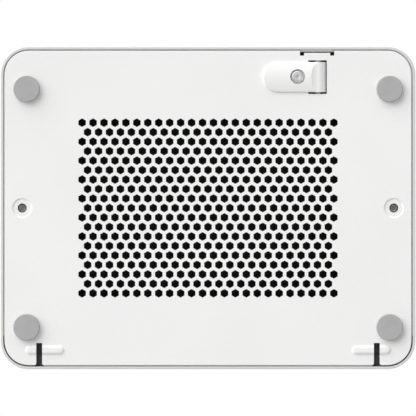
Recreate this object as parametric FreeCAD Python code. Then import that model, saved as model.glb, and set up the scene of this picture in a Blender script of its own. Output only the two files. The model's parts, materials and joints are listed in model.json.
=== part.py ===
"""Desktop wireless router with a ventilated bottom cover, made as an assembly of separate solids.

Units are millimetres. The router stands on its four rubber feet on Z = 0, with the origin under the
middle of the case. X runs from left to right, seen from the front, Y from front to rear and Z up.
Each function builds one sub-part, and write_parts() saves each as parts/NODE.step.
"""

import FreeCAD
import Part
import math
import os

V = FreeCAD.Vector
X_AXIS = V(1, 0, 0)
Y_AXIS = V(0, 1, 0)
Z_AXIS = V(0, 0, 1)

# How solids and cutting tools meet
OVERRUN = 1.0           # how far a cutting tool runs past the face it cuts
OVERLAP = 0.1           # the same where a neighbour is close
ROOT = 0.2              # how deep a boss or rib starts inside the wall that carries it
CEILING_ROOT = 0.5      # the same under the top
SLIVER = 0.001          # straight left between the two arcs of a full round end
TOUCH = 0.01            # how close counts as touching

# Case outline and shell
CASE_LENGTH = 189.4
CASE_DEPTH = 147.2
CASE_HEIGHT = 31.0
CASE_CORNER = 12.8
TOP_EDGE_RADIUS = 4.5
RIM_EDGE_RADIUS = 0.35
COVER_EDGE_RADIUS = 0.25
WALL = 2.3
TOP_THICKNESS = 2.2
HALF_LENGTH = CASE_LENGTH / 2
HALF_DEPTH = CASE_DEPTH / 2
CEILING = CASE_HEIGHT - TOP_THICKNESS
INNER_Y = HALF_DEPTH - WALL

# Bottom cover, which sits inside the shell's rim
COVER_FACE = 2.6
COVER_THICKNESS = 2.0
COVER_INNER = COVER_FACE + COVER_THICKNESS
FLANGE_TOP = COVER_FACE + 1.2
RIM = 1.18
COVER_INSET = 1.78
SKIRT_INSET = WALL + 0.2
SKIRT_THICKNESS = 1.2
SKIRT_TOP = 7.0
SKIRT_GAP_DEPTH = 6.0
SOCKET_SKIRT_GAP = 0.5
TAB_SKIRT_GAP = 1.0
CORNER_RELIEF_X = 78.6
CORNER_RELIEF_Y = 58.5
CORNER_RELIEF_TOP = 9.0

# Ventilation field: a hexagonal lattice of hexagonal holes, points towards front and rear
VENT_PITCH = 5.0
VENT_ROWS = 19
VENT_COLUMNS = 24
VENT_ACROSS_FLATS = 3.45

# Feet
FOOT_X = 82.9
FOOT_Y = 54.4
FOOT_RADIUS = 6.0
FOOT_RECESS = 0.55
FOOT_CLEARANCE = 0.05
FOOT_EDGE_RADIUS = 0.4
FOOT_PAD_THICKNESS = 0.15
FOOT_PAD_RADIUS = FOOT_RADIUS - 0.4

# Case screws, deep in bosses at the middle of each side
CASE_SCREW_X = 84.9
DISH_RADIUS = 4.65
DISH_FLOOR_RADIUS = 4.0
DISH_DEPTH = 0.5
SCREW_WELL_RADIUS = 2.1
SCREW_SEAT = 8.0
BOSS_RADIUS = 4.0
BOSS_TOP = 9.4
POST_RADIUS = 3.2
POST_RIB_HALF = 0.6
POST_RIB_BOTTOM = BOSS_TOP + 4.0
PILOT_RADIUS = 0.95
PILOT_TOP = 21.0
CASE_SCREW_HOLE_RADIUS = 1.15
CASE_SCREW_HEAD_HEIGHT = 1.5
CASE_SCREW_HEAD_RADIUS = 1.95
CASE_SCREW_LENGTH = 9.0
CASE_SCREW_RADIUS = 0.9
CASE_SCREW_EASE = 0.7

# Cross recess of a screw, as shares of the head's radius and height
RECESS_REACH = 0.5
RECESS_WIDTH = 0.26
RECESS_DEPTH = 0.4
RECESS_TAPER = 0.4

# Hook slots for a wall bracket, with the raised ribs that they cross
HOOK_X = 77.1
HOOK_WIDTH = 2.7
HOOK_INNER_Y = -61.65
HOOK_MOUTH_RADIUS = 0.9
RIB_X = 74.6
RIB_Y = -64.85
RIB_LENGTH = 18.0
RIB_WIDTH = 4.3
RIB_HEIGHT = 0.9
RIB_EDGE_RADIUS = 1.4
RIB_ROOT = 0.8
SOCKET_HALF = 4.5
SOCKET_TOP = 9.0
SOCKET_STEP_Y = -66.9
SOCKET_NOSE_HALF = 2.2
SOCKET_NOSE_GAP = 0.15
SOCKET_FRONT = -HALF_DEPTH + WALL + 0.7
SOCKET_REAR = HOOK_INNER_Y + 2.2
CHANNEL_REAR = HOOK_INNER_Y + 0.4
CHANNEL_HALF = HOOK_WIDTH / 2 + 0.3
CHANNEL_INNER_TOP = SOCKET_TOP - 2.0
CHANNEL_OUTER_TOP = SOCKET_TOP - 2.4
GROOVE_TOP = SOCKET_TOP - 1.2
GROOVE_FRONT, GROOVE_REAR = SOCKET_STEP_Y - 0.2, SOCKET_STEP_Y + 0.3

# Bracket tab slot at the rear edge
TAB_X0, TAB_X1 = -57.7, -42.0
TAB_LINE_Y = 70.85
TAB_CORNER_Y = 69.6
TAB_CORNER_WIDTH = 1.9
TAB_TONGUE_Y = 71.7
TAB_TONGUE_FACE = COVER_FACE + 0.7
TAB_TONGUE_TOP = FLANGE_TOP + 0.4
TAB_TONGUE_GAP = 0.7

# Lock lever and its hinge
LEVER_Y = 59.8
LEVER_WIDTH = 13.7
LEVER_HALF = LEVER_WIDTH / 2
LEVER_TIP_X = -25.05
LEVER_FACE = 0.8
LEVER_CROWN = 1.0
LEVER_BACK = COVER_FACE - 0.05
LEVER_EDGE_RADIUS = 0.6
LEVER_DROP = 0.85
LEVER_DROP_RADIUS = 6.25
BARREL_RADIUS = 3.7
BARREL_FACE = LEVER_FACE + LEVER_DROP
BARREL_GAP = 0.4
HINGE_X = -50.3
HINGE_Z = BARREL_FACE + BARREL_RADIUS
NECK_LENGTH = 3.9
NECK_Z0, NECK_Z1 = LEVER_BACK - 0.65, HINGE_Z - 1.6
TRUNNION_RADIUS = 1.3
WINDOW_X0, WINDOW_X1 = -54.25, -45.8
WINDOW_Y0, WINDOW_Y1 = 52.1, 67.45
WINDOW_LIP = 0.9
WINDOW_RELIEF = 1.0
PIN_RADIUS = 1.0
PIN_CLEARANCE = 0.05
BEARING_WIDTH = 1.8
BEARING_HALF = 2.6
BEARING_TOP = HINGE_Z + 1.4
BEARING_ENTRY_HALF = 0.8
HINGE_END_GAP = 0.1

# Captive screw of the lock lever
LOCK_X, LOCK_Y = -40.9, 59.95
LOCK_HEAD_RADIUS = 2.75
LOCK_HEAD_EASE = 0.5
LOCK_SHANK_RADIUS = 1.45
LOCK_SHANK_CLEARANCE = 0.1
LOCK_HEAD_FACE = 1.15
LOCK_SEAT = 2.7
LOCK_TIP = 7.5
LOCK_WELL_RADIUS = 3.4
LOCK_CORE_RADIUS = 4.4
LOCK_CORE_TOP = 3.9
LOCK_CORE_ROOT = 0.5
LOCK_POCKET_RADIUS = 5.2
LOCK_CUP_RADIUS = 6.5
LOCK_ROOF = 5.95
LOCK_CUP_TOP = 8.2
INSERT_RADIUS = 2.9
INSERT_BORE = 1.9
WASHER_RADIUS = 2.5
WASHER_THICKNESS = 0.5
WASHER_TOP = LOCK_ROOF - 0.05
WASHER_CLEARANCE = 0.03

# Circuit board
BOARD_BOTTOM = 9.0
BOARD_TOP = 10.6
BOARD_HALF_X = 74.0
BOARD_FRONT, BOARD_REAR = -54.0, 68.0
BOARD_NOTCH_X, BOARD_NOTCH_Y = -31.0, 44.0
STANDOFFS = [(-68, -46), (68, -46), (-68, 38), (68, 48), (-24, 48)]
STANDOFF_RADIUS = 3.2
STANDOFF_BORE = 1.1
BOARD_HOLE_RADIUS = 1.6
BOARD_SCREW_HEAD_HEIGHT = 1.8
BOARD_SCREW_HEAD_RADIUS = 2.6
BOARD_SCREW_LENGTH = 5.5
BOARD_SCREW_RADIUS = 1.05
BOARD_SCREW_EASE = 0.9
FILM_HALF_X, FILM_HALF_Y = 63.0, 43.0
FILM_THICKNESS = 0.25

# Parts on the board
PROCESSOR_SIDE = 19.0
PROCESSOR_HEIGHT = 1.4
PAD_HEIGHT = 0.5
HEATSINK_SIDE = 40.0
HEATSINK_BASE = 2.0
FIN_COUNT = 8
FIN_PITCH = 5.5
FIN_THICKNESS = 1.5
FIN_ROOT = 0.5
FIN_HEIGHT = 10.0
CAN_X, CAN_Y = 42.0, -8.0
CAN_LENGTH, CAN_DEPTH, CAN_HEIGHT = 32.0, 40.0, 3.2
CAN_SHEET = 0.3
CAN_EDGE_RADIUS = 0.5
TRANSFORMER_X = [-10.0, 11.0, 40.0]
TRANSFORMER_Y = 47.0
TRANSFORMER_LENGTH, TRANSFORMER_DEPTH, TRANSFORMER_HEIGHT = 16.0, 9.0, 5.5
CAPACITORS = [(54.0, 38.0), (54.0, 28.0), (63.0, 28.0)]
CAPACITOR_RADIUS, CAPACITOR_HEIGHT = 3.5, 9.0
CAPACITOR_EDGE_RADIUS = 0.5
INDUCTOR_X, INDUCTOR_Y = 65.5, 38.0
INDUCTOR_SIDE, INDUCTOR_HEIGHT = 9.0, 4.0
INDUCTOR_CORNER = 1.5

# Sockets and buttons in the rear wall
PORT_FACE = HALF_DEPTH - 0.3
PORT_GAP = 0.2
PORT_CORNER = 0.3
JACK_WIDTH = 14.0
JACK_DEPTH = 18.0
JACK_HEIGHT = 13.4
JACK_CLEARANCE = 0.02
JACK_SETBACK = 0.2
JACK_BACK = PORT_FACE - 12.5
JACK_STEPS = [(5.9, 14.9, 21.9), (3.1, 13.3, 15.0), (1.7, 12.3, 13.4)]
CONTACT_COUNT = 8
CONTACT_PITCH = 1.02
CONTACT_HALF = 0.22
CONTACT_FRONT = PORT_FACE - 2.2
CONTACT_BEND = PORT_FACE - 2.6
CONTACT_Z0, CONTACT_Z1 = 21.15, 21.55
CONTACT_ROOF = 21.9
SHIELD_THICKNESS = 0.25
LAN_X = [-22.0, -8.0, 6.0, 20.0]
WAN_X = 40.0
DC_X = 67.0
DC_WIDTH = 9.0
DC_DEPTH = 14.0
DC_HEIGHT = 11.0
DC_BORE_Z = 17.0
DC_BORE_RADIUS = 3.1
DC_BORE_DEPTH = 10.0
DC_PIN_RADIUS = 1.0
DC_PIN_SETBACK = 1.2
DC_PIN_EDGE_RADIUS = 0.4
BUTTON_Z = 14.0
BUTTON_CLEARANCE = 0.1
SWITCH_Y0, SWITCH_Y1 = 62.0, 66.5
SWITCH_BORE_Y = 63.5
STEM_Y = 64.5
WPS_X = 53.5
WPS_RADIUS = 2.4
WPS_EDGE_RADIUS = 0.35
WPS_FLANGE_FACE = INNER_Y - 0.1
WPS_FLANGE_THICKNESS = 1.0
WPS_FLANGE_RADIUS = WPS_RADIUS + 0.8
WPS_STEM_RADIUS = 1.0
WPS_SWITCH_HALF, WPS_SWITCH_HEIGHT = 3.0, 6.0
RESET_X = 59.2
RESET_HOLE_RADIUS = 0.75
RESET_PLUNGER_RADIUS = 0.8
RESET_PLUNGER_END = 70.0
RESET_SWITCH_HALF, RESET_SWITCH_HEIGHT = 1.75, 5.0
SWITCH_BORE_CLEARANCE = 0.1

# Status lights in the front wall
LIGHT_X = [-62.0 + 8.0 * i for i in range(5)]
LIGHT_Z = 17.3
LIGHT_LENGTH = 4.0
LIGHT_HEIGHT = 1.3
LIGHT_GAP = 0.05
PIPE_HALF_HEIGHT = 1.3
PIPE_HALF_WIDTH = 1.5
PIPE_END = 3.0
PIPE_BAR_FRONT, PIPE_BAR_REAR = -INNER_Y + 0.8, -INNER_Y + 2.8
PIPE_FOOT_Y0, PIPE_FOOT_Y1 = -52.5, -49.5
PIPE_FOOT_GAP = 1.7
LED_Y = -51.0
LED_LENGTH, LED_DEPTH, LED_HEIGHT = 3.0, 1.6, 1.4

# Aerials along the side walls
AERIAL_X = 89.6
AERIAL_THICKNESS = 0.8
AERIAL_Y0, AERIAL_Y1 = -48.0, -14.0
AERIAL_Z0, AERIAL_Z1 = 12.0, 27.0
HOLDER_REACH = 2.0
HOLDER_GRIP = 1.2
HOLDER_FACE = AERIAL_X - 1.2
HOLDER_BOTTOM = AERIAL_Z0 + 3.0
GROOVE_CLEARANCE = 0.05
GROOVE_END = 0.1
PLUG_LENGTH = 2.6
PLUG_HALF = 1.3
PLUG_ABOVE = 0.7
BEND_SHARE = 0.45       # share of the shorter run next to a corner that its bend takes up
COAX_RADIUS = 0.6
COAX_ROUTE = [
    (89.6, -31.0, 20.0),
    (84.5, -31.0, 20.0),
    (79.5, -29.5, 16.0),
    (75.0, -26.0, 12.4),
    (71.2, -22.0, 11.6),
    (67.3, -22.0, 11.6),
]


# Helpers

def box(x0, x1, y0, y1, z0, z1):
    """A block between two corners."""
    return Part.makeBox(x1 - x0, y1 - y0, z1 - z0, V(x0, y0, z0))


def rod_z(x, y, z0, z1, radius):
    """An upright cylinder."""
    return Part.makeCylinder(radius, z1 - z0, V(x, y, z0), Z_AXIS)


def rod_y(x, z, y0, y1, radius):
    """A cylinder that runs from front to rear."""
    return Part.makeCylinder(radius, y1 - y0, V(x, y0, z), Y_AXIS)


def rounded_block(x0, x1, y0, y1, z0, z1, radius):
    """A block with rounded upright edges."""
    corners = [
        (x1 - radius, y0 + radius, -90),
        (x1 - radius, y1 - radius, 0),
        (x0 + radius, y1 - radius, 90),
        (x0 + radius, y0 + radius, 180),
    ]
    ends = []
    arcs = []
    for cx, cy, start in corners:
        points = []
        for angle in (start, start + 45, start + 90):
            turn = math.radians(angle)
            points.append(V(cx + radius * math.cos(turn), cy + radius * math.sin(turn), z0))
        arcs.append(Part.Arc(*points).toShape())
        ends.append((points[0], points[2]))
    edges = []
    for index, arc in enumerate(arcs):
        edges.append(arc)
        start, end = ends[index][1], ends[(index + 1) % 4][0]
        if start.distanceToPoint(end) > 1e-6:
            edges.append(Part.LineSegment(start, end).toShape())
    face = Part.Face(Part.Wire(edges))
    return face.extrude(V(0, 0, z1 - z0))


def case_slab(inset, z0, z1):
    """A slab with the case's outline, moved inwards by inset."""
    return rounded_block(
        inset - HALF_LENGTH, HALF_LENGTH - inset,
        inset - HALF_DEPTH, HALF_DEPTH - inset,
        z0, z1, CASE_CORNER - inset,
    )


def edges_at(shape, height):
    """The edges of a shape that lie flat at one height."""
    return [
        e for e in shape.Edges
        if abs(e.BoundBox.ZMin - height) < 1e-4 and abs(e.BoundBox.ZMax - height) < 1e-4
    ]


def both_sides(make):
    """Calls make(sign) for the left and the right side and returns both results."""
    return [make(-1), make(1)]


def fuse_all(first, others):
    """One solid from several that touch."""
    return first.fuse(list(others)).removeSplitter()


def group(solids):
    """Several separate solids in one node."""
    return Part.makeCompound(list(solids))


def tube_along(points, radius):
    """A round tube along straight runs joined by tangent arcs, and its bend radii."""
    corners = [V(*p) for p in points]
    edges = []
    radii = []
    start = corners[0]
    for before, corner, after in zip(corners, corners[1:], corners[2:]):
        into = corner - before
        out = after - corner
        shorter = min(into.Length, out.Length)
        into.normalize()
        out.normalize()
        half_turn = into.getAngle(out) / 2
        cut_back = BEND_SHARE * shorter
        bend = cut_back / math.tan(half_turn)
        radii.append(round(bend, 1))
        arc_start = corner - into * cut_back
        arc_end = corner + out * cut_back
        inward = out - into
        inward.normalize()
        middle = corner + inward * (bend / math.cos(half_turn) - bend)
        edges.append(Part.LineSegment(start, arc_start).toShape())
        edges.append(Part.Arc(arc_start, middle, arc_end).toShape())
        start = arc_end
    edges.append(Part.LineSegment(start, corners[-1]).toShape())
    path = Part.Wire(edges)
    direction = corners[1] - corners[0]
    circle = Part.Wire(Part.makeCircle(radius, corners[0], direction))
    tube = path.makePipeShell([circle], True, False)
    share = tube.Volume / (math.pi * radius ** 2 * path.Length)
    print("tube: length", round(path.Length, 1), "radii", radii, "volume share", round(share, 4))
    return tube


# Case

def upper_shell():
    """Top and side walls in one moulding, with screw posts, port openings and light windows."""
    outer = case_slab(0, COVER_FACE, CASE_HEIGHT)
    outer = outer.makeFillet(TOP_EDGE_RADIUS, edges_at(outer, CASE_HEIGHT))
    outer = outer.makeFillet(RIM_EDGE_RADIUS, edges_at(outer, COVER_FACE))
    cavity = case_slab(WALL, FLANGE_TOP, CEILING)
    cavity = cavity.makeFillet(TOP_EDGE_RADIUS - TOP_THICKNESS, edges_at(cavity, CEILING))
    rebate = case_slab(RIM, COVER_FACE - OVERRUN, FLANGE_TOP)
    shell = outer.cut([cavity, rebate] + both_sides(corner_relief) + both_sides(mouth_relief))
    added = [tab_tongue()] + both_sides(screw_post) + both_sides(aerial_holder)
    shell = shell.fuse(added).removeSplitter()
    return shell.cut(wall_openings() + both_sides(pilot_hole))


def tab_tongue():
    """The step behind the bracket tab slot, part of the shell's rear wall."""
    return box(
        TAB_X0 + TAB_TONGUE_GAP, TAB_X1 - TAB_TONGUE_GAP, TAB_TONGUE_Y, HALF_DEPTH - RIM + OVERLAP,
        TAB_TONGUE_FACE, TAB_TONGUE_TOP,
    )


def corner_relief(side):
    """Where the ledge under the cover's edge stops at a front corner."""
    corner = box(
        CORNER_RELIEF_X, HALF_LENGTH, -HALF_DEPTH, -CORNER_RELIEF_Y,
        FLANGE_TOP, CORNER_RELIEF_TOP,
    )
    if side < 0:
        corner = corner.mirror(V(0, 0, 0), X_AXIS)
    return case_slab(RIM, FLANGE_TOP, CORNER_RELIEF_TOP).common(corner)


def mouth_relief(side):
    """Where the same ledge and the wall above it stop at a hook slot's mouth."""
    x = side * HOOK_X
    return box(
        x - SOCKET_NOSE_HALF, x + SOCKET_NOSE_HALF, RIM - HALF_DEPTH, -INNER_Y + OVERLAP,
        COVER_FACE, SOCKET_TOP + ROOT,
    )


def screw_post(side):
    """The post that a case screw bites in, with two ribs to the side wall."""
    post = rod_z(side * CASE_SCREW_X, 0, BOSS_TOP, CEILING + CEILING_ROOT, POST_RADIUS)
    near, far = sorted((side * (CASE_SCREW_X + OVERRUN), side * (HALF_LENGTH - WALL + ROOT)))
    rib = box(near, far, -POST_RIB_HALF, POST_RIB_HALF, POST_RIB_BOTTOM, CEILING + CEILING_ROOT)
    return post.fuse(rib)


def pilot_hole(side):
    """The hole that a case screw cuts its thread in."""
    return rod_z(side * CASE_SCREW_X, 0, BOSS_TOP - OVERLAP, PILOT_TOP, PILOT_RADIUS)


def aerial_holder(side):
    """Two grooved ribs that hold an aerial board by its ends."""
    ribs = []
    near, far = sorted((side * HOLDER_FACE, side * (HALF_LENGTH - WALL + ROOT)))
    for y0, y1 in (
        (AERIAL_Y0 - HOLDER_REACH, AERIAL_Y0 + HOLDER_GRIP),
        (AERIAL_Y1 - HOLDER_GRIP, AERIAL_Y1 + HOLDER_REACH),
    ):
        ribs.append(box(near, far, y0, y1, HOLDER_BOTTOM, CEILING + CEILING_ROOT))
    back = AERIAL_X + AERIAL_THICKNESS
    near, far = sorted((side * (AERIAL_X - GROOVE_CLEARANCE), side * (back + GROOVE_CLEARANCE)))
    groove = box(near, far, AERIAL_Y0 - GROOVE_END, AERIAL_Y1 + GROOVE_END, AERIAL_Z0, AERIAL_Z1 + GROOVE_END)
    return group(ribs).cut(groove)


def wall_openings():
    """Openings for sockets and buttons in the rear wall, and for lights in the front wall."""
    rear0, rear1 = INNER_Y - OVERRUN, HALF_DEPTH + OVERRUN
    openings = []
    for x0, x1, height in (
        (LAN_X[0] - JACK_WIDTH / 2, LAN_X[-1] + JACK_WIDTH / 2, JACK_HEIGHT),
        (WAN_X - JACK_WIDTH / 2, WAN_X + JACK_WIDTH / 2, JACK_HEIGHT),
        (DC_X - DC_WIDTH / 2, DC_X + DC_WIDTH / 2, DC_HEIGHT),
    ):
        openings.append(rounded_opening(
            x0 - PORT_GAP, x1 + PORT_GAP, rear0, rear1,
            BOARD_TOP - PORT_GAP, BOARD_TOP + height + PORT_GAP,
        ))
    openings.append(rod_y(WPS_X, BUTTON_Z, rear0, rear1, WPS_RADIUS + BUTTON_CLEARANCE))
    openings.append(rod_y(RESET_X, BUTTON_Z, rear0, rear1, RESET_HOLE_RADIUS))
    for x in LIGHT_X:
        openings.append(light_prong(x, -HALF_DEPTH - OVERRUN, -INNER_Y + CEILING_ROOT, LIGHT_GAP))
    return openings


def rounded_opening(x0, x1, y0, y1, z0, z1):
    """A block that runs from front to rear with small radii along its length."""
    block = box(x0, x1, y0, y1, z0, z1)
    along = [e for e in block.Edges if e.BoundBox.YLength > y1 - y0 - TOUCH]
    return block.makeFillet(PORT_CORNER, along)


def bottom_cover():
    """Flat cover with the ventilation field, foot recesses, screw wells, hook slots and hinge bearings."""
    plate = case_slab(COVER_INSET, COVER_FACE, FLANGE_TOP)
    plate = plate.makeFillet(COVER_EDGE_RADIUS, edges_at(plate, COVER_FACE))
    inner = case_slab(SKIRT_INSET, FLANGE_TOP, COVER_INNER)
    skirt = case_slab(SKIRT_INSET, COVER_INNER, SKIRT_TOP).cut(
        [case_slab(SKIRT_INSET + SKIRT_THICKNESS, COVER_INNER, SKIRT_TOP)] + skirt_gaps()
    )
    added = [inner, skirt, lock_cup()]
    added += both_sides(rib)
    added += both_sides(screw_boss)
    added += [rod_z(x, y, COVER_INNER - ROOT, BOARD_BOTTOM, STANDOFF_RADIUS) for x, y in STANDOFFS]
    added += [bearing(y) for y in bearing_places()]
    cover = fuse_all(plate, added)
    removed = [foot_recess(x, y) for x, y in foot_places()]
    removed += both_sides(screw_well) + both_sides(hook_slot)
    removed += [rod_z(x, y, COVER_INNER, BOARD_BOTTOM + OVERLAP, STANDOFF_BORE) for x, y in STANDOFFS]
    removed += [tab_slot(), lock_pocket(), bearing_bore()]
    removed += lever_window()
    cover = cover.cut(removed)
    return cover.cut(group(vent_holes()))


def screw_boss(side):
    """The boss on the cover's inside round a case screw's well."""
    return rod_z(side * CASE_SCREW_X, 0, COVER_INNER - ROOT, BOSS_TOP, BOSS_RADIUS)


def vent_holes():
    """Hexagonal prisms for every hole of the ventilation field."""
    circumradius = VENT_ACROSS_FLATS / math.sqrt(3)
    row_pitch = VENT_PITCH * math.sqrt(3) / 2
    corners = [math.radians(30 + 60 * i) for i in range(7)]
    holes = []
    for row in range(VENT_ROWS):
        count = VENT_COLUMNS - row % 2
        y = (row - (VENT_ROWS - 1) / 2) * row_pitch
        for column in range(count):
            x = (column - (count - 1) / 2) * VENT_PITCH
            outline = [
                V(x + circumradius * math.cos(a), y + circumradius * math.sin(a), COVER_FACE - OVERRUN)
                for a in corners
            ]
            face = Part.Face(Part.makePolygon(outline))
            holes.append(face.extrude(V(0, 0, COVER_THICKNESS + 2 * OVERRUN)))
    return holes


def skirt_gaps():
    """Gaps in the cover's skirt at the hook sockets, the hinge and the bracket tab slot."""
    gaps = both_sides(lambda side: box(
        side * HOOK_X - SOCKET_HALF - SOCKET_SKIRT_GAP, side * HOOK_X + SOCKET_HALF + SOCKET_SKIRT_GAP,
        -HALF_DEPTH, -HALF_DEPTH + SKIRT_GAP_DEPTH, COVER_INNER, SKIRT_TOP,
    ))
    gaps.append(box(
        TAB_X0 - TAB_SKIRT_GAP, TAB_X1 + TAB_SKIRT_GAP,
        HALF_DEPTH - SKIRT_GAP_DEPTH, HALF_DEPTH, COVER_INNER, SKIRT_TOP,
    ))
    return gaps


def foot_places():
    """Centres of the four feet."""
    return [(x, y) for y in (-FOOT_Y, FOOT_Y) for x in (-FOOT_X, FOOT_X)]


def foot_recess(x, y):
    """The shallow seat that a rubber foot is stuck in."""
    return rod_z(x, y, COVER_FACE - OVERRUN, COVER_FACE + FOOT_RECESS, FOOT_RADIUS + FOOT_CLEARANCE)


def screw_well(side):
    """Dished entry, deep well and clearance hole for one case screw."""
    x = side * CASE_SCREW_X
    dish = Part.makeCone(DISH_RADIUS, DISH_FLOOR_RADIUS, DISH_DEPTH, V(x, 0, COVER_FACE), Z_AXIS)
    well = rod_z(x, 0, COVER_FACE, SCREW_SEAT, SCREW_WELL_RADIUS)
    hole = rod_z(x, 0, COVER_FACE, BOSS_TOP + OVERLAP, CASE_SCREW_HOLE_RADIUS)
    return dish.fuse([well, hole])


def rib(side):
    """A raised pill-shaped rib beside a front foot."""
    half = RIB_LENGTH / 2
    width = RIB_WIDTH / 2
    pill = rounded_block(
        side * RIB_X - half, side * RIB_X + half, RIB_Y - width, RIB_Y + width,
        COVER_FACE - RIB_HEIGHT, COVER_FACE + RIB_ROOT, width - SLIVER,
    )
    return pill.makeFillet(RIB_EDGE_RADIUS, edges_at(pill, COVER_FACE - RIB_HEIGHT))


def hook_slot(side):
    """A slot from the cover's front edge across a rib, with a flared mouth."""
    x = side * HOOK_X
    half = HOOK_WIDTH / 2
    edge = COVER_INSET - HALF_DEPTH
    z0, z1 = 0, COVER_INNER + OVERRUN
    slot = box(x - half, x + half, edge - OVERRUN, HOOK_INNER_Y, z0, z1)
    flares = []
    for way in (-1, 1):
        near, far = sorted((x + way * half, x + way * (half + HOOK_MOUTH_RADIUS)))
        corner = box(near, far, edge - OVERRUN, edge + HOOK_MOUTH_RADIUS, z0, z1)
        centre_x = x + way * (half + HOOK_MOUTH_RADIUS)
        flares.append(corner.cut(rod_z(centre_x, edge + HOOK_MOUTH_RADIUS, z0, z1, HOOK_MOUTH_RADIUS)))
    return slot.fuse(flares)


def tab_slot():
    """The stepped notch in the rear edge that a wall bracket's tab enters."""
    z0, z1 = COVER_FACE - OVERRUN, COVER_INNER + OVERRUN
    line = box(TAB_X0, TAB_X1, TAB_LINE_Y, HALF_DEPTH, z0, z1)
    left = box(TAB_X0, TAB_X0 + TAB_CORNER_WIDTH, TAB_CORNER_Y, HALF_DEPTH, z0, z1)
    right = box(TAB_X1 - TAB_CORNER_WIDTH, TAB_X1, TAB_CORNER_Y, HALF_DEPTH, z0, z1)
    return line.fuse([left, right])


def lock_cup():
    """The closed cup on the cover's inside that takes the lever's screw."""
    return rod_z(LOCK_X, LOCK_Y, COVER_INNER - ROOT, LOCK_CUP_TOP, LOCK_CUP_RADIUS)


def lock_pocket():
    """Room in the cup for the lever's core and washer, and the seat of the threaded insert."""
    room = rod_z(LOCK_X, LOCK_Y, COVER_FACE - OVERRUN, LOCK_ROOF, LOCK_POCKET_RADIUS)
    seat = rod_z(LOCK_X, LOCK_Y, LOCK_ROOF - OVERLAP, LOCK_CUP_TOP + OVERLAP, INSERT_RADIUS)
    return room.fuse(seat)


def lever_window():
    """The window that the lever's barrel stands in, with room behind its lip and round the barrel."""
    relief_y0, relief_y1 = WINDOW_Y0 - WINDOW_RELIEF, WINDOW_Y1 + WINDOW_RELIEF
    top = COVER_INNER + OVERRUN
    return [
        box(WINDOW_X0, WINDOW_X1, WINDOW_Y0, WINDOW_Y1, COVER_FACE - OVERRUN, top),
        box(WINDOW_X0, WINDOW_X1, relief_y0, relief_y1, COVER_FACE + WINDOW_LIP, top),
        rod_y(HINGE_X, HINGE_Z, WINDOW_Y0, WINDOW_Y1, BARREL_RADIUS + BARREL_GAP),
    ]


def bearing_places():
    """Front ends of the two hinge bearings, one each side of the lever's window."""
    return [WINDOW_Y0 - WINDOW_RELIEF - BEARING_WIDTH, WINDOW_Y1 + WINDOW_RELIEF]


def bearing(y):
    """A block with an open top that the hinge pin snaps in."""
    x0, x1 = HINGE_X - BEARING_HALF, HINGE_X + BEARING_HALF
    block = box(x0, x1, y, y + BEARING_WIDTH, COVER_INNER - ROOT, BEARING_TOP)
    x0, x1 = HINGE_X - BEARING_ENTRY_HALF, HINGE_X + BEARING_ENTRY_HALF
    entry = box(x0, x1, y, y + BEARING_WIDTH, HINGE_Z, BEARING_TOP)
    return block.cut(entry)


def bearing_bore():
    """The bore that both bearings share."""
    reach = WINDOW_RELIEF + BEARING_WIDTH + OVERLAP
    return rod_y(HINGE_X, HINGE_Z, WINDOW_Y0 - reach, WINDOW_Y1 + reach, PIN_RADIUS + PIN_CLEARANCE)


def foot(x, y):
    """A round rubber foot with an eased edge."""
    disc = rod_z(x, y, 0, COVER_FACE + FOOT_RECESS - FOOT_PAD_THICKNESS, FOOT_RADIUS)
    return disc.makeFillet(FOOT_EDGE_RADIUS, edges_at(disc, 0))


def foot_pads():
    """The adhesive discs between feet and cover."""
    top = COVER_FACE + FOOT_RECESS
    return group(rod_z(x, y, top - FOOT_PAD_THICKNESS, top, FOOT_PAD_RADIUS) for x, y in foot_places())


def case_screws():
    """The two screws that hold the cover to the shell's posts."""
    return group(both_sides(lambda side: pan_screw(
        side * CASE_SCREW_X, 0, SCREW_SEAT, CASE_SCREW_HEAD_HEIGHT, CASE_SCREW_HEAD_RADIUS,
        CASE_SCREW_LENGTH, CASE_SCREW_RADIUS, CASE_SCREW_EASE, 1,
    )))


def pan_screw(x, y, seat, head_height, head_radius, length, shank_radius, ease, way):
    """A cross-recess screw. Way 1 has its head under the seat and its shank going up, way -1 the reverse."""
    head = Part.makeCylinder(head_radius, head_height, V(x, y, seat), Z_AXIS * -way)
    face = seat - way * head_height
    head = head.makeFillet(ease, edges_at(head, face))
    shank = Part.makeCylinder(shank_radius, length, V(x, y, seat), Z_AXIS * way)
    recess = cross_recess(
        V(x, y, face), Z_AXIS * way,
        head_radius * RECESS_REACH, head_radius * RECESS_WIDTH, head_height * RECESS_DEPTH,
    )
    return head.fuse(shank).removeSplitter().cut(recess)


def cross_recess(centre, inwards, reach, width, depth):
    """Two crossed wings whose ends taper inwards."""
    wings = []
    for along, across in ((X_AXIS, Y_AXIS), (Y_AXIS, X_AXIS)):
        outer = centre - inwards * OVERLAP - across * (width / 2)
        inner = centre + inwards * depth - across * (width / 2)
        corners = [outer - along * reach, outer + along * reach]
        corners += [inner + along * (reach * RECESS_TAPER), inner - along * (reach * RECESS_TAPER)]
        wings.append(Part.Face(Part.makePolygon(corners + corners[:1])).extrude(across * width))
    return wings[0].fuse(wings[1])


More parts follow.
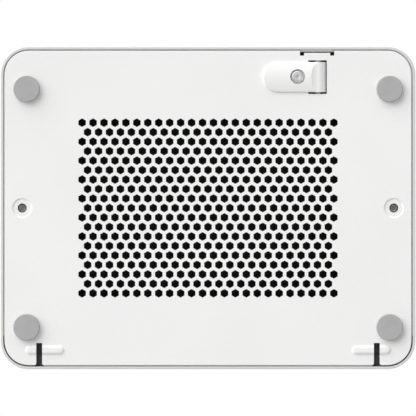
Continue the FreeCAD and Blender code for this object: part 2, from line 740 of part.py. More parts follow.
def hook_socket(side):
    """A stepped channel behind a hook slot, which carries the wall bracket's hook."""
    x = side * HOOK_X
    nose_half = SOCKET_NOSE_HALF - SOCKET_NOSE_GAP
    nose_front = RIM - HALF_DEPTH + SOCKET_NOSE_GAP
    block = box(x - SOCKET_HALF, x + SOCKET_HALF, SOCKET_FRONT, SOCKET_REAR, COVER_INNER, SOCKET_TOP)
    nose = box(x - nose_half, x + nose_half, nose_front, SOCKET_FRONT, COVER_INNER, SOCKET_TOP)
    x0, x1 = x - CHANNEL_HALF, x + CHANNEL_HALF
    inner = box(x0, x1, SOCKET_STEP_Y, CHANNEL_REAR, COVER_INNER, CHANNEL_INNER_TOP)
    outer = box(x0, x1, nose_front, SOCKET_STEP_Y, COVER_INNER, CHANNEL_OUTER_TOP)
    groove = box(x0, x1, GROOVE_FRONT, GROOVE_REAR, COVER_INNER, GROOVE_TOP)
    return fuse_all(block, [nose]).cut([inner, outer, groove])


# Lock lever

def lock_lever():
    """Crowned arm with a round end, a hinge barrel with trunnions and a core for the captive screw."""
    y0, y1 = LEVER_Y - LEVER_HALF, LEVER_Y + LEVER_HALF
    barrel = rod_y(HINGE_X, HINGE_Z, y0, y1, BARREL_RADIUS)
    reach = WINDOW_RELIEF - HINGE_END_GAP
    trunnions = rod_y(HINGE_X, HINGE_Z, WINDOW_Y0 - reach, WINDOW_Y1 + reach, TRUNNION_RADIUS)
    neck = box(HINGE_X, HINGE_X + NECK_LENGTH, y0, y1, NECK_Z0, NECK_Z1)
    core = rod_z(LOCK_X, LOCK_Y, LEVER_BACK - LOCK_CORE_ROOT, LOCK_CORE_TOP, LOCK_CORE_RADIUS)
    lever = fuse_all(crowned_arm(), [barrel, trunnions, neck, core])
    well = rod_z(LOCK_X, LOCK_Y, 0, LOCK_SEAT, LOCK_WELL_RADIUS)
    hole_radius = LOCK_SHANK_RADIUS + LOCK_SHANK_CLEARANCE
    hole = rod_z(LOCK_X, LOCK_Y, 0, LOCK_CORE_TOP + OVERLAP, hole_radius)
    pin_hole = rod_y(HINGE_X, HINGE_Z, WINDOW_Y0 - WINDOW_RELIEF, WINDOW_Y1 + WINDOW_RELIEF, PIN_RADIUS)
    return lever.cut([well, hole, pin_hole])


def crowned_arm():
    """The arm, arched across, with soft edges and a hollow curve down to the hinge barrel."""
    y0, y1 = LEVER_Y - LEVER_HALF, LEVER_Y + LEVER_HALF
    start_x = HINGE_X - LEVER_WIDTH
    arm = rounded_block(start_x, LEVER_TIP_X, y0, y1, LEVER_FACE, LEVER_BACK, LEVER_HALF - SLIVER)
    arm = arm.cut(box(start_x, HINGE_X, y0, y1, 0, COVER_INNER))
    crown_radius = (LEVER_HALF ** 2 + LEVER_CROWN ** 2) / (2 * LEVER_CROWN)
    crown_start = V(start_x, LEVER_Y, LEVER_FACE + crown_radius)
    crown_length = LEVER_TIP_X - start_x + OVERRUN
    arm = arm.common(Part.makeCylinder(crown_radius, crown_length, crown_start, X_AXIS))
    outline = []
    for edge in arm.Edges:
        low = edge.BoundBox.ZMax < LEVER_BACK - TOUCH
        at_hinge = edge.BoundBox.XMax < HINGE_X + TOUCH
        if low and not at_hinge:
            outline.append(edge)
    arm = arm.makeFillet(LEVER_EDGE_RADIUS, outline)
    drop_z = BARREL_FACE - LEVER_DROP_RADIUS
    return arm.cut(rod_y(HINGE_X, drop_z, y0 - OVERRUN, y1 + OVERRUN, LEVER_DROP_RADIUS))


def lever_pin():
    """The steel pin pressed in the lever's barrel, which turns in the cover's bearings."""
    reach = WINDOW_RELIEF + BEARING_WIDTH - HINGE_END_GAP
    return rod_y(HINGE_X, HINGE_Z, WINDOW_Y0 - reach, WINDOW_Y1 + reach, PIN_RADIUS)


def lever_screw():
    """The captive screw that locks the lever to the cover."""
    head_height = LOCK_SEAT - LOCK_HEAD_FACE
    return pan_screw(
        LOCK_X, LOCK_Y, LOCK_SEAT, head_height, LOCK_HEAD_RADIUS,
        LOCK_TIP - LOCK_SEAT, LOCK_SHANK_RADIUS, LOCK_HEAD_EASE, 1,
    )


def lever_screw_washer():
    """The washer that keeps the screw in the lever."""
    disc = rod_z(LOCK_X, LOCK_Y, WASHER_TOP - WASHER_THICKNESS, WASHER_TOP, WASHER_RADIUS)
    hole_radius = LOCK_SHANK_RADIUS + WASHER_CLEARANCE
    return disc.cut(rod_z(LOCK_X, LOCK_Y, WASHER_TOP - OVERRUN, WASHER_TOP + OVERRUN, hole_radius))


def lever_screw_insert():
    """The brass threaded insert in the cup's roof."""
    body = rod_z(LOCK_X, LOCK_Y, LOCK_ROOF, LOCK_CUP_TOP, INSERT_RADIUS)
    return body.cut(rod_z(LOCK_X, LOCK_Y, LOCK_ROOF - OVERRUN, LOCK_CUP_TOP + OVERRUN, INSERT_BORE))


# Board and what is on it

def main_board():
    """The circuit board, cut away round the lock."""
    board = box(-BOARD_HALF_X, BOARD_HALF_X, BOARD_FRONT, BOARD_REAR, BOARD_BOTTOM, BOARD_TOP)
    notch = box(-BOARD_HALF_X, BOARD_NOTCH_X, BOARD_NOTCH_Y, BOARD_REAR, BOARD_BOTTOM, BOARD_TOP)
    z0, z1 = BOARD_BOTTOM - OVERRUN, BOARD_TOP + OVERRUN
    holes = [rod_z(x, y, z0, z1, BOARD_HOLE_RADIUS) for x, y in STANDOFFS]
    return board.cut([notch] + holes)


def board_screws():
    """The screws that hold the board to the cover's standoffs."""
    screws = []
    for x, y in STANDOFFS:
        screws.append(pan_screw(
            x, y, BOARD_TOP, BOARD_SCREW_HEAD_HEIGHT, BOARD_SCREW_HEAD_RADIUS,
            BOARD_SCREW_LENGTH, BOARD_SCREW_RADIUS, BOARD_SCREW_EASE, -1,
        ))
    return group(screws)


def insulator_film():
    """The black film under the board, seen through the ventilation holes."""
    bottom = BOARD_BOTTOM - FILM_THICKNESS
    return box(-FILM_HALF_X, FILM_HALF_X, -FILM_HALF_Y, FILM_HALF_Y, bottom, BOARD_BOTTOM)


def on_board(x, y, length, depth, height, base=BOARD_TOP):
    """A block that stands on the board, centred on x and y."""
    return box(x - length / 2, x + length / 2, y - depth / 2, y + depth / 2, base, base + height)


def shield_can(side):
    """A drawn sheet-metal lid over radio parts."""
    x = side * CAN_X
    can = on_board(x, CAN_Y, CAN_LENGTH, CAN_DEPTH, CAN_HEIGHT)
    can = can.makeFillet(CAN_EDGE_RADIUS, edges_at(can, BOARD_TOP + CAN_HEIGHT))
    inside_length, inside_depth = CAN_LENGTH - 2 * CAN_SHEET, CAN_DEPTH - 2 * CAN_SHEET
    return can.cut(on_board(x, CAN_Y, inside_length, inside_depth, CAN_HEIGHT - CAN_SHEET))


def heatsink():
    """Aluminium base with straight fins."""
    base_z = BOARD_TOP + PROCESSOR_HEIGHT + PAD_HEIGHT
    base = on_board(0, 0, HEATSINK_SIDE, HEATSINK_SIDE, HEATSINK_BASE, base_z)
    fin_z = base_z + HEATSINK_BASE - FIN_ROOT
    fins = []
    for i in range(FIN_COUNT):
        x = (i - (FIN_COUNT - 1) / 2) * FIN_PITCH
        fins.append(on_board(x, 0, FIN_THICKNESS, HEATSINK_SIDE, FIN_HEIGHT, fin_z))
    return fuse_all(base, fins)


def processor():
    """The processor's package."""
    return on_board(0, 0, PROCESSOR_SIDE, PROCESSOR_SIDE, PROCESSOR_HEIGHT)


def thermal_pad():
    """The soft pad between processor and heatsink."""
    return on_board(0, 0, PROCESSOR_SIDE, PROCESSOR_SIDE, PAD_HEIGHT, BOARD_TOP + PROCESSOR_HEIGHT)


def memory_chips():
    """Memory and switch chips, each with its centre, length, depth and height."""
    return group([
        on_board(-12, 31, 13, 8, 1.0),
        on_board(8, 31, 13, 8, 1.0),
        on_board(0, -34, 14, 12, 1.2),
        on_board(20, -40, 6, 5, 1.5),
    ])


def line_transformers():
    """Isolation transformers between the sockets and the chips."""
    blocks = []
    for x in TRANSFORMER_X:
        blocks.append(on_board(x, TRANSFORMER_Y, TRANSFORMER_LENGTH, TRANSFORMER_DEPTH, TRANSFORMER_HEIGHT))
    return group(blocks)


def capacitors():
    """Electrolytic capacitors of the power supply."""
    top = BOARD_TOP + CAPACITOR_HEIGHT
    cans = [rod_z(x, y, BOARD_TOP, top, CAPACITOR_RADIUS) for x, y in CAPACITORS]
    return group(can.makeFillet(CAPACITOR_EDGE_RADIUS, edges_at(can, top)) for can in cans)


def power_inductor():
    """The power supply's shielded inductor."""
    block = on_board(INDUCTOR_X, INDUCTOR_Y, INDUCTOR_SIDE, INDUCTOR_SIDE, INDUCTOR_HEIGHT)
    upright = [e for e in block.Edges if e.BoundBox.ZLength > INDUCTOR_HEIGHT - TOUCH]
    return block.makeFillet(INDUCTOR_CORNER, upright)


def jack_shields():
    """Thin metal sheet round each network socket, open below and at both ends."""
    sheets = []
    for x in LAN_X + [WAN_X]:
        half = JACK_WIDTH / 2 - JACK_CLEARANCE
        y0 = PORT_FACE - JACK_DEPTH
        top = BOARD_TOP + JACK_HEIGHT
        outer = box(x - half, x + half, y0, PORT_FACE, BOARD_TOP, top)
        half -= SHIELD_THICKNESS
        inside = box(x - half, x + half, y0, PORT_FACE, BOARD_TOP, top - SHIELD_THICKNESS)
        sheets.append(outer.cut(inside))
    return group(sheets)


def network_jack(x):
    """The plastic body of one network socket, with a keyed cavity."""
    half = JACK_WIDTH / 2 - JACK_CLEARANCE - SHIELD_THICKNESS
    top = BOARD_TOP + JACK_HEIGHT - SHIELD_THICKNESS
    body = box(x - half, x + half, PORT_FACE - JACK_DEPTH, PORT_FACE - JACK_SETBACK, BOARD_TOP, top)
    steps = [box(x - w, x + w, JACK_BACK, PORT_FACE, z0, z1) for w, z0, z1 in JACK_STEPS]
    return body.cut(fuse_all(steps[0], steps[1:]))


def jack_contacts(places):
    """Eight sprung contacts in the roof of each network socket's cavity."""
    wires = []
    for x in places:
        for i in range(CONTACT_COUNT):
            middle = x + (i - (CONTACT_COUNT - 1) / 2) * CONTACT_PITCH
            x0, x1 = middle - CONTACT_HALF, middle + CONTACT_HALF
            wire = box(x0, x1, JACK_BACK, CONTACT_FRONT, CONTACT_Z0, CONTACT_Z1)
            bend = box(x0, x1, CONTACT_BEND, CONTACT_FRONT, CONTACT_Z0, CONTACT_ROOF)
            wires.append(fuse_all(wire, [bend]))
    return group(wires)


def dc_jack():
    """The power inlet's body."""
    half = DC_WIDTH / 2
    back = PORT_FACE - DC_DEPTH
    body = box(DC_X - half, DC_X + half, back, PORT_FACE, BOARD_TOP, BOARD_TOP + DC_HEIGHT)
    return body.cut(rod_y(DC_X, DC_BORE_Z, PORT_FACE - DC_BORE_DEPTH, PORT_FACE + OVERRUN, DC_BORE_RADIUS))


def dc_jack_pin():
    """The power inlet's centre pin."""
    end = PORT_FACE - DC_PIN_SETBACK
    pin = rod_y(DC_X, DC_BORE_Z, PORT_FACE - DC_BORE_DEPTH, end, DC_PIN_RADIUS)
    tip = [e for e in pin.Edges if e.BoundBox.YMin > end - TOUCH]
    return pin.makeFillet(DC_PIN_EDGE_RADIUS, tip)


def wps_switch():
    """The pairing button's switch body."""
    x0, x1 = WPS_X - WPS_SWITCH_HALF, WPS_X + WPS_SWITCH_HALF
    body = box(x0, x1, SWITCH_Y0, SWITCH_Y1, BOARD_TOP, BOARD_TOP + WPS_SWITCH_HEIGHT)
    bore_radius = WPS_STEM_RADIUS + SWITCH_BORE_CLEARANCE
    return body.cut(rod_y(WPS_X, BUTTON_Z, SWITCH_BORE_Y, SWITCH_Y1 + OVERLAP, bore_radius))


def wps_button():
    """The pairing button, kept in by a flange behind the rear wall."""
    flange_back = WPS_FLANGE_FACE - WPS_FLANGE_THICKNESS
    flange_middle = WPS_FLANGE_FACE - WPS_FLANGE_THICKNESS / 2
    cap = rod_y(WPS_X, BUTTON_Z, flange_middle, PORT_FACE, WPS_RADIUS)
    cap = cap.makeFillet(WPS_EDGE_RADIUS, [e for e in cap.Edges if e.BoundBox.YMin > PORT_FACE - TOUCH])
    flange = rod_y(WPS_X, BUTTON_Z, flange_back, WPS_FLANGE_FACE, WPS_FLANGE_RADIUS)
    stem = rod_y(WPS_X, BUTTON_Z, STEM_Y, flange_middle, WPS_STEM_RADIUS)
    return fuse_all(cap, [flange, stem])


def reset_switch():
    """The reset switch's body."""
    x0, x1 = RESET_X - RESET_SWITCH_HALF, RESET_X + RESET_SWITCH_HALF
    body = box(x0, x1, SWITCH_Y0, SWITCH_Y1, BOARD_TOP, BOARD_TOP + RESET_SWITCH_HEIGHT)
    bore_radius = RESET_PLUNGER_RADIUS + SWITCH_BORE_CLEARANCE
    return body.cut(rod_y(RESET_X, BUTTON_Z, SWITCH_BORE_Y, SWITCH_Y1 + OVERLAP, bore_radius))


def reset_plunger():
    """The reset switch's plunger, behind its pinhole."""
    return rod_y(RESET_X, BUTTON_Z, STEM_Y, RESET_PLUNGER_END, RESET_PLUNGER_RADIUS)


def light_prong(x, y0, y1, gap=0.0):
    """A pill-shaped prong that runs from front to rear."""
    half = LIGHT_LENGTH / 2 + gap
    radius = LIGHT_HEIGHT / 2 + gap
    middle = box(x - half + radius, x + half - radius, y0, y1, LIGHT_Z - radius, LIGHT_Z + radius)
    ends = [rod_y(x + way * (half - radius), LIGHT_Z, y0, y1, radius) for way in (-1, 1)]
    return middle.fuse(ends).removeSplitter()


def light_pipe():
    """Clear moulding that carries each status light to the front wall."""
    z0, z1 = LIGHT_Z - PIPE_HALF_HEIGHT, LIGHT_Z + PIPE_HALF_HEIGHT
    bar = box(LIGHT_X[0] - PIPE_END, LIGHT_X[-1] + PIPE_END, PIPE_BAR_FRONT, PIPE_BAR_REAR, z0, z1)
    parts = []
    for x in LIGHT_X:
        x0, x1 = x - PIPE_HALF_WIDTH, x + PIPE_HALF_WIDTH
        parts.append(light_prong(x, -HALF_DEPTH, PIPE_BAR_FRONT + ROOT))
        parts.append(box(x0, x1, PIPE_BAR_REAR - ROOT, PIPE_FOOT_Y1, z0, z1))
        parts.append(box(x0, x1, PIPE_FOOT_Y0, PIPE_FOOT_Y1, BOARD_TOP + PIPE_FOOT_GAP, LIGHT_Z))
    return fuse_all(bar, parts)


def status_leds():
    """The light-emitting diodes under the light pipe."""
    return group(on_board(x, LED_Y, LED_LENGTH, LED_DEPTH, LED_HEIGHT) for x in LIGHT_X)


def aerial(side):
    """An aerial board held in the shell's grooves."""
    near, far = sorted((side * AERIAL_X, side * (AERIAL_X + AERIAL_THICKNESS)))
    return box(near, far, AERIAL_Y0, AERIAL_Y1, AERIAL_Z0, AERIAL_Z1)


def coax_lead(side):
    """The thin lead from an aerial to its plug on the board."""
    return tube_along([(side * x, y, z) for x, y, z in COAX_ROUTE], COAX_RADIUS)


def coax_plugs():
    """The plugs that the aerial leads end in, and their sockets on the board."""
    end_x, end_y, end_z = COAX_ROUTE[-1]
    solids = []
    for side in (-1, 1):
        near, far = sorted((side * (end_x - PLUG_LENGTH), side * end_x))
        solids.append(box(near, far, end_y - PLUG_HALF, end_y + PLUG_HALF, BOARD_TOP, end_z + PLUG_ABOVE))
    return group(solids)


def sub_parts():
    """Every node's name and shape."""
    parts = {
        "upper_shell": upper_shell(),
        "bottom_cover": bottom_cover(),
        "foot_adhesive_pads": foot_pads(),
        "case_screws": case_screws(),
        "hook_socket_left": hook_socket(-1),
        "hook_socket_right": hook_socket(1),
        "lock_lever": lock_lever(),
        "lever_pin": lever_pin(),
        "lever_screw": lever_screw(),
        "lever_screw_washer": lever_screw_washer(),
        "lever_screw_insert": lever_screw_insert(),
        "main_board": main_board(),
        "board_screws": board_screws(),
        "insulator_film": insulator_film(),
        "processor": processor(),
        "thermal_pad": thermal_pad(),
        "heatsink": heatsink(),
        "radio_shield_left": shield_can(-1),
        "radio_shield_right": shield_can(1),
        "memory_chips": memory_chips(),
        "line_transformers": line_transformers(),
        "capacitors": capacitors(),
        "power_inductor": power_inductor(),
        "jack_shields": jack_shields(),
        "wan_jack": network_jack(WAN_X),
        "wan_jack_contacts": jack_contacts([WAN_X]),
        "lan_jack_contacts": jack_contacts(LAN_X),
        "dc_jack": dc_jack(),
        "dc_jack_pin": dc_jack_pin(),
        "wps_switch": wps_switch(),
        "wps_button": wps_button(),
        "reset_switch": reset_switch(),
        "reset_plunger": reset_plunger(),
        "light_pipe": light_pipe(),
        "status_leds": status_leds(),
        "aerial_left": aerial(-1),
        "aerial_right": aerial(1),
        "aerial_lead_left": coax_lead(-1),
        "aerial_lead_right": coax_lead(1),
        "aerial_plugs": coax_plugs(),
    }
    for number, x in enumerate(LAN_X, 1):
        parts[f"lan_jack_{number}"] = network_jack(x)
    for x, y in foot_places():
        name = f"foot_{'front' if y < 0 else 'rear'}_{'left' if x < 0 else 'right'}"
        parts[name] = foot(x, y)
    return parts


def write_parts():
    """Saves each node and stops at one that isn't made of valid closed solids."""
    os.makedirs("parts", exist_ok=True)
    for name, shape in sub_parts().items():
        if not shape.Solids or not shape.isValid() or min(s.Volume for s in shape.Solids) <= 0:
            raise ValueError(f"{name} is not made of valid solids")
        if len(shape.Solids) == 1:
            shape = shape.Solids[0]
        shape.exportStep(f"parts/{name}.step")
        print(name, len(shape.Solids), "solids", round(shape.Volume, 1), "mm3")


write_parts()
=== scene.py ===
import json
import math

import bpy
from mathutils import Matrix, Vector


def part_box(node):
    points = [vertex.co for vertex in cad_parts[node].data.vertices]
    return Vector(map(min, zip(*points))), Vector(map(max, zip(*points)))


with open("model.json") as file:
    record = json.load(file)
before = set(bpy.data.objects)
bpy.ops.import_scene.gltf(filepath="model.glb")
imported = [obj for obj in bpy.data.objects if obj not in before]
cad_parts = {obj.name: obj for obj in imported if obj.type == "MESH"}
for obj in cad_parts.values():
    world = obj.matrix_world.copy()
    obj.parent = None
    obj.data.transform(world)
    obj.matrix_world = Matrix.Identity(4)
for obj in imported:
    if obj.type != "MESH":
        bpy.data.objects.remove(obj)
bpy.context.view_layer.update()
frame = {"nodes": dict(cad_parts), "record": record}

MM = 0.001               # the scene is in metres

# Camera: straight below, as the router's underside is shown, through a long lens
LENS_MM = 400.0
SENSOR_MM = 36.0
FRAME_MARGIN = 1.0031
CLIP_NEAR = 0.1
CLIP_FAR = 200.0

# Sky: strengths straight below, just under the horizon, and above, with the heights where they blend
WORLD_NADIR = 0.47
WORLD_HORIZON = 1.20
WORLD_ABOVE = 0.42
NADIR_HEIGHT = -0.6
ABOVE_HEIGHT = 0.1

# Suns: where each shines to, its strength and its apparent width in degrees
SUN_BELOW = ((-0.61, -0.65, 0.46), 3.25, 70)
SUN_ABOVE = ((0.45, 0.55, -0.8), 3.0, 30)

# Floor
FLOOR_REACH = 60.0
FLOOR_TONES = (0.79, 0.81)
FLOOR_CLOUD = 0.6
FLOOR_ROUGHNESS = 0.9
FLOOR_SPECULAR = 0.1

# Sizes of surface detail, in cells per metre
BROAD_TONE = 18.0
RUBBER_GRAIN = 2600.0
RUBBER_BLOOM = 260.0
RUBBER_PITS = 1300.0
METAL_PATCHES = 300.0
BOARD_TRACKS = 260.0
BOARD_HOLES = 180.0
BOARD_GRAIN = 900.0
PIPE_CLOUD = 500.0

# The range that most of a noise's values lie in
NOISE_LOW = 0.3
NOISE_HIGH = 0.7

# The colour sockets of a Mix node, which has others with the same names
MIX_FIRST = 6
MIX_SECOND = 7
MIX_RESULT = 2

# Ways to stretch a metal's fine lines along the object's front-to-rear axis, or not at all
EVEN = (1, 1, 1)
LINES_Y = (1, 0.05, 1)


# Helpers for materials

def grey(tone):
    """A neutral colour."""
    return (tone, tone, tone)


def tint(colour, factor):
    """A colour made lighter or darker."""
    return tuple(min(1.0, c * factor) for c in colour)


def new_material(name):
    """A material with only an output and a Principled shader, and its node tree."""
    made = bpy.data.materials.new(name)
    made.use_nodes = True
    return made, made.node_tree, made.node_tree.nodes["Principled BSDF"]


def link(tree, source, target):
    """Joins two sockets."""
    tree.links.new(source, target)


def noise(tree, scale, detail=2.0, rough=0.5, stretch=EVEN):
    """A noise over the object's own coordinates, with scale in cells per metre."""
    where = tree.nodes.new("ShaderNodeTexCoord")
    mapping = tree.nodes.new("ShaderNodeMapping")
    mapping.inputs["Scale"].default_value = stretch
    made = tree.nodes.new("ShaderNodeTexNoise")
    made.inputs["Scale"].default_value = scale
    made.inputs["Detail"].default_value = detail
    made.inputs["Roughness"].default_value = rough
    link(tree, where.outputs["Object"], mapping.inputs["Vector"])
    link(tree, mapping.outputs["Vector"], made.inputs["Vector"])
    return made.outputs["Fac"]


def spread(tree, value, low, high, start=NOISE_LOW, end=NOISE_HIGH):
    """Maps a value from the range start to end onto low to high."""
    made = tree.nodes.new("ShaderNodeMapRange")
    made.inputs["From Min"].default_value = start
    made.inputs["From Max"].default_value = end
    made.inputs["To Min"].default_value = low
    made.inputs["To Max"].default_value = high
    link(tree, value, made.inputs["Value"])
    return made.outputs["Result"]


def blend_colours(tree, factor, first, second):
    """Mixes two colours, given as tuples or sockets, by a factor socket or a number."""
    made = tree.nodes.new("ShaderNodeMix")
    made.data_type = "RGBA"
    if isinstance(factor, float):
        made.inputs["Factor"].default_value = factor
    else:
        link(tree, factor, made.inputs["Factor"])
    for index, value in ((MIX_FIRST, first), (MIX_SECOND, second)):
        if isinstance(value, tuple):
            made.inputs[index].default_value = (*value, 1.0)
        else:
            link(tree, value, made.inputs[index])
    return made.outputs[MIX_RESULT]


def bump(tree, heights):
    """Bumps from (height socket, depth in metres, strength) triples, one on the other."""
    normal = None
    for height, depth, strength in heights:
        made = tree.nodes.new("ShaderNodeBump")
        made.inputs["Distance"].default_value = depth
        made.inputs["Strength"].default_value = strength
        link(tree, height, made.inputs["Height"])
        if normal is not None:
            link(tree, normal, made.inputs["Normal"])
        normal = made.outputs["Normal"]
    return normal


# Kinds of material

def plastic(name, colour, rough, grain=1800.0, depth=0.03 * MM, vary=0.03, specular=0.4):
    """Moulded plastic with a fine spark-eroded grain, small tone changes and uneven gloss."""
    made, tree, shader = new_material(name)
    fine = noise(tree, grain, 3.0, 0.6)
    broad = noise(tree, BROAD_TONE)
    light = tint(colour, 1 + vary / 2)
    tone = blend_colours(tree, spread(tree, broad, 0, 1), tint(colour, 1 - vary / 2), light)
    speck = blend_colours(tree, spread(tree, fine, 0, 1), tint(colour, 1 - vary), light)
    link(tree, blend_colours(tree, 0.5, tone, speck), shader.inputs["Base Color"])
    link(tree, spread(tree, fine, rough - 0.06, rough + 0.08), shader.inputs["Roughness"])
    link(tree, bump(tree, [(fine, depth, 0.5)]), shader.inputs["Normal"])
    shader.inputs["Specular IOR Level"].default_value = specular
    return made


def rubber(name, colour):
    """Pressed rubber: dull, with a soft bloom and fine pits."""
    made, tree, shader = new_material(name)
    fine = noise(tree, RUBBER_GRAIN, 4.0, 0.65)
    bloom = noise(tree, RUBBER_BLOOM, 3.0)
    pits = tree.nodes.new("ShaderNodeTexVoronoi")
    pits.inputs["Scale"].default_value = RUBBER_PITS
    where = tree.nodes.new("ShaderNodeTexCoord")
    link(tree, where.outputs["Object"], pits.inputs["Vector"])
    pitted = spread(tree, pits.outputs["Distance"], 0, 1, 0.0, 0.35)
    base = blend_colours(tree, spread(tree, bloom, 0, 1), tint(colour, 0.97), tint(colour, 1.03))
    shade = blend_colours(tree, pitted, tint(colour, 0.94), base)
    link(tree, shade, shader.inputs["Base Color"])
    link(tree, spread(tree, fine, 0.72, 0.9), shader.inputs["Roughness"])
    heights = [(pitted, 0.03 * MM, 0.3), (fine, 0.04 * MM, 0.4)]
    link(tree, bump(tree, heights), shader.inputs["Normal"])
    shader.inputs["Specular IOR Level"].default_value = 0.3
    return made


def metal(name, colour, rough, grain=1500.0, stretch=EVEN):
    """Plated or drawn metal with fine lines along the stretched axis and dulled patches."""
    made, tree, shader = new_material(name)
    lines = noise(tree, grain, 3.0, 0.6, stretch)
    patches = noise(tree, METAL_PATCHES)
    shade = blend_colours(tree, spread(tree, patches, 0, 1), tint(colour, 0.75), colour)
    link(tree, shade, shader.inputs["Base Color"])
    link(tree, spread(tree, lines, rough - 0.08, rough + 0.1), shader.inputs["Roughness"])
    link(tree, bump(tree, [(lines, 0.01 * MM, 0.4)]), shader.inputs["Normal"])
    shader.inputs["Metallic"].default_value = 1.0
    return made


def circuit_board(name, resist, copper):
    """Solder resist over copper tracks, with plated holes."""
    made, tree, shader = new_material(name)
    where = tree.nodes.new("ShaderNodeTexCoord")
    tracks = tree.nodes.new("ShaderNodeTexBrick")
    tracks.inputs["Scale"].default_value = BOARD_TRACKS
    tracks.inputs["Mortar Size"].default_value = 0.11
    tracks.inputs["Mortar Smooth"].default_value = 0.1
    for socket, factor in (("Color1", 0.8), ("Color2", 1.0), ("Mortar", 1.7)):
        tracks.inputs[socket].default_value = (*tint(resist, factor), 1)
    holes = tree.nodes.new("ShaderNodeTexVoronoi")
    holes.inputs["Scale"].default_value = BOARD_HOLES
    fine = noise(tree, BOARD_GRAIN)
    link(tree, where.outputs["Object"], tracks.inputs["Vector"])
    link(tree, where.outputs["Object"], holes.inputs["Vector"])
    plated = spread(tree, holes.outputs["Distance"], 1, 0, 0.06, 0.08)
    shade = blend_colours(tree, plated, tracks.outputs["Color"], copper)
    link(tree, shade, shader.inputs["Base Color"])
    link(tree, spread(tree, fine, 0.28, 0.42), shader.inputs["Roughness"])
    link(tree, bump(tree, [(tracks.outputs["Fac"], 0.03 * MM, 0.4)]), shader.inputs["Normal"])
    return made


def clear(name, colour):
    """Clear moulded plastic, slightly cloudy."""
    made, tree, shader = new_material(name)
    cloud = noise(tree, PIPE_CLOUD)
    shade = blend_colours(tree, spread(tree, cloud, 0, 1), tint(colour, 0.95), colour)
    link(tree, shade, shader.inputs["Base Color"])
    link(tree, spread(tree, cloud, 0.12, 0.28), shader.inputs["Roughness"])
    shader.inputs["Transmission Weight"].default_value = 0.6
    shader.inputs["IOR"].default_value = 1.49
    return made


# The finish of each material slot: its kind, colour, roughness, size of grain in cells per metre,
# depth of grain, how far its tone varies, and its gloss
FINISHES = {
    "cover_white": (plastic, dict(
        colour=(0.84, 0.84, 0.835), rough=0.62, grain=1500.0, depth=0.05 * MM, vary=0.06)),
    # painted shade: the shell's white is darkened to a light grey, standing in for the shade of the
    # rim band around the cover
    "shell_white": (plastic, dict(colour=grey(0.64), rough=0.55, grain=1700.0)),
    "lever_white": (plastic, dict(
        colour=(0.85, 0.85, 0.845), rough=0.42, grain=900.0, depth=0.01 * MM, vary=0.012)),
    "foot_rubber": (rubber, dict(colour=grey(0.40))),
    "foot_adhesive": (plastic, dict(colour=(0.7, 0.7, 0.66), rough=0.5)),
    # painted shade: the hook sockets are near-black, standing in for the shade down the hook slots
    "dark_plastic": (plastic, dict(colour=grey(0.085), rough=0.5, grain=1500.0, vary=0.2)),
    "zinc_steel": (metal, dict(colour=grey(0.84), rough=0.52)),
    # painted shade: a darker steel for the case screws, standing in for the shade at the bottom of
    # their wells
    "well_screw_steel": (metal, dict(colour=grey(0.50), rough=0.56)),
    "steel": (metal, dict(colour=(0.56, 0.56, 0.57), rough=0.28, stretch=LINES_Y)),
    "brass": (metal, dict(colour=(0.72, 0.52, 0.22), rough=0.32)),
    "board_green": (circuit_board, dict(resist=(0.012, 0.13, 0.05), copper=(0.62, 0.45, 0.18))),
    # painted shade: the near-black film behind the vents stands in for the shade inside the case seen
    # through them
    "film_black": (plastic, dict(
        colour=grey(0.006), rough=0.6, grain=700.0, depth=0.02 * MM, vary=0.3, specular=0.15)),
    "chip_black": (plastic, dict(
        colour=(0.02, 0.02, 0.022), rough=0.55, grain=2500.0, depth=0.02 * MM, vary=0.3)),
    "pad_grey": (rubber, dict(colour=(0.42, 0.44, 0.5))),
    "heatsink_aluminium": (metal, dict(
        colour=(0.78, 0.78, 0.80), rough=0.34, grain=1200.0, stretch=LINES_Y)),
    "tinned_sheet": (metal, dict(
        colour=(0.70, 0.70, 0.69), rough=0.30, grain=900.0, stretch=LINES_Y)),
    "socket_black": (plastic, dict(
        colour=(0.025, 0.025, 0.028), rough=0.38, grain=1600.0, depth=0.02 * MM, vary=0.25)),
    "socket_blue": (plastic, dict(
        colour=(0.03, 0.11, 0.36), rough=0.38, grain=1600.0, depth=0.02 * MM, vary=0.15)),
    "contact_gold": (metal, dict(colour=(0.86, 0.62, 0.25), rough=0.22, stretch=LINES_Y)),
    "capacitor_sleeve": (plastic, dict(
        colour=(0.015, 0.015, 0.03), rough=0.22, grain=400.0, depth=0.01 * MM, vary=0.2)),
    "ferrite": (plastic, dict(
        colour=grey(0.08), rough=0.7, grain=1500.0, depth=0.05 * MM, vary=0.3)),
    "clear_plastic": (clear, dict(colour=(0.92, 0.94, 0.95))),
    "led_body": (plastic, dict(colour=(0.85, 0.85, 0.7), rough=0.3)),
    "button_grey": (plastic, dict(
        colour=grey(0.36), rough=0.45, grain=1500.0, depth=0.02 * MM, vary=0.08)),
    "lead_black": (plastic, dict(
        colour=grey(0.02), rough=0.35, grain=900.0, depth=0.01 * MM, vary=0.2)),
}

# Nodes whose finish differs from their slot's: the case screws get a darker copy of the screw steel,
# painted shade for the bottom of their deep wells
OWN_FINISH = {"case_screws": "well_screw_steel"}


def dress_nodes():
    """Gives every node the material of its slot, or its own."""
    materials = {slot: make(slot, **values) for slot, (make, values) in FINISHES.items()}
    for part in frame["record"]["subparts"]:
        node = frame["nodes"][part["node"]]
        finish = OWN_FINISH.get(part["node"], part["material_slot"])
        node.data.materials.clear()
        node.data.materials.append(materials[finish])


# Floor, light and camera

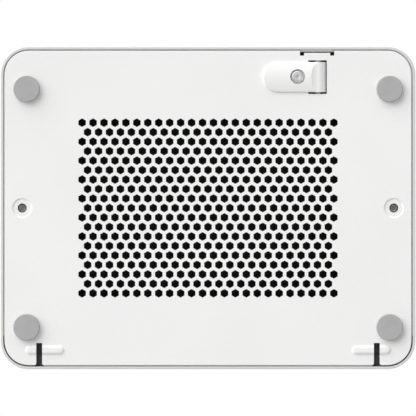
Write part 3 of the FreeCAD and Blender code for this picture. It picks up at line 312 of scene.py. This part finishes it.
def floor():
    """A pale floor that is seen from above only, and lets light from below pass."""
    made, tree, shader = new_material("floor_pale")
    dark, pale = FLOOR_TONES
    cloud = noise(tree, FLOOR_CLOUD)
    shade = blend_colours(tree, spread(tree, cloud, 0, 1), grey(dark), grey(pale))
    link(tree, shade, shader.inputs["Base Color"])
    shader.inputs["Roughness"].default_value = FLOOR_ROUGHNESS
    shader.inputs["Specular IOR Level"].default_value = FLOOR_SPECULAR
    side = tree.nodes.new("ShaderNodeNewGeometry")
    through = tree.nodes.new("ShaderNodeBsdfTransparent")
    mix = tree.nodes.new("ShaderNodeMixShader")
    link(tree, side.outputs["Backfacing"], mix.inputs["Fac"])
    link(tree, shader.outputs["BSDF"], mix.inputs[1])
    link(tree, through.outputs["BSDF"], mix.inputs[2])
    link(tree, mix.outputs["Shader"], tree.nodes["Material Output"].inputs["Surface"])
    corners = [(FLOOR_REACH * x, FLOOR_REACH * y, 0) for x, y in ((-1, -1), (1, -1), (1, 1), (-1, 1))]
    mesh = bpy.data.meshes.new("floor")
    mesh.from_pydata(corners, [], [(0, 1, 2, 3)])
    mesh.materials.append(made)
    ground = bpy.data.objects.new("floor", mesh)
    bpy.context.scene.collection.objects.link(ground)
    ground.visible_shadow = False
    ground.visible_diffuse = False
    ground.visible_glossy = False
    ground.visible_transmission = False


def studio_world():
    """White to the camera, and soft light from all round, strongest just under the horizon."""
    world = bpy.data.worlds.new("studio")
    bpy.context.scene.world = world
    world.use_nodes = True
    tree = world.node_tree
    lit = tree.nodes["Background"]
    lit.inputs["Color"].default_value = (1, 1, 1, 1)
    seen = tree.nodes.new("ShaderNodeBackground")
    seen.inputs["Color"].default_value = (1, 1, 1, 1)
    seen.inputs["Strength"].default_value = 1.0
    where = tree.nodes.new("ShaderNodeTexCoord")
    split = tree.nodes.new("ShaderNodeSeparateXYZ")
    link(tree, where.outputs["Generated"], split.inputs["Vector"])
    height = split.outputs["Z"]
    below = spread(tree, height, WORLD_NADIR, WORLD_HORIZON, NADIR_HEIGHT, 0.0)
    rise = tree.nodes.new("ShaderNodeMapRange")
    rise.inputs["From Min"].default_value = 0.0
    rise.inputs["From Max"].default_value = ABOVE_HEIGHT
    rise.inputs["To Max"].default_value = WORLD_ABOVE
    link(tree, height, rise.inputs["Value"])
    link(tree, below, rise.inputs["To Min"])
    link(tree, rise.outputs["Result"], lit.inputs["Strength"])
    path = tree.nodes.new("ShaderNodeLightPath")
    mix = tree.nodes.new("ShaderNodeMixShader")
    link(tree, path.outputs["Is Camera Ray"], mix.inputs["Fac"])
    link(tree, lit.outputs["Background"], mix.inputs[1])
    link(tree, seen.outputs["Background"], mix.inputs[2])
    link(tree, mix.outputs["Shader"], tree.nodes["World Output"].inputs["Surface"])


def sun(name, towards, energy, angle_deg):
    """A soft distant lamp that shines along a direction."""
    lamp = bpy.data.lights.new(name, "SUN")
    lamp.energy = energy
    lamp.angle = math.radians(angle_deg)
    placed = bpy.data.objects.new(name, lamp)
    placed.rotation_euler = Vector(towards).to_track_quat("-Z", "Y").to_euler()
    bpy.context.scene.collection.objects.link(placed)


def camera():
    """The camera below the middle of the case, with the rear edge at the top of the picture."""
    low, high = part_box("upper_shell")
    data = bpy.data.cameras.new("camera")
    data.type = "PERSP"
    data.lens = LENS_MM
    data.sensor_width = SENSOR_MM
    data.clip_start = CLIP_NEAR
    data.clip_end = CLIP_FAR
    placed = bpy.data.objects.new("camera", data)
    distance = (high.x - low.x) * FRAME_MARGIN * LENS_MM / SENSOR_MM
    placed.location = ((low.x + high.x) / 2, (low.y + high.y) / 2, low.z - distance)
    placed.rotation_euler = (0, math.pi, 0)
    bpy.context.scene.collection.objects.link(placed)
    bpy.context.scene.camera = placed


dress_nodes()
floor()
studio_world()
sun("sun_below", *SUN_BELOW)
sun("sun_above", *SUN_ABOVE)
camera()
bpy.context.scene.view_settings.view_transform = "Standard"
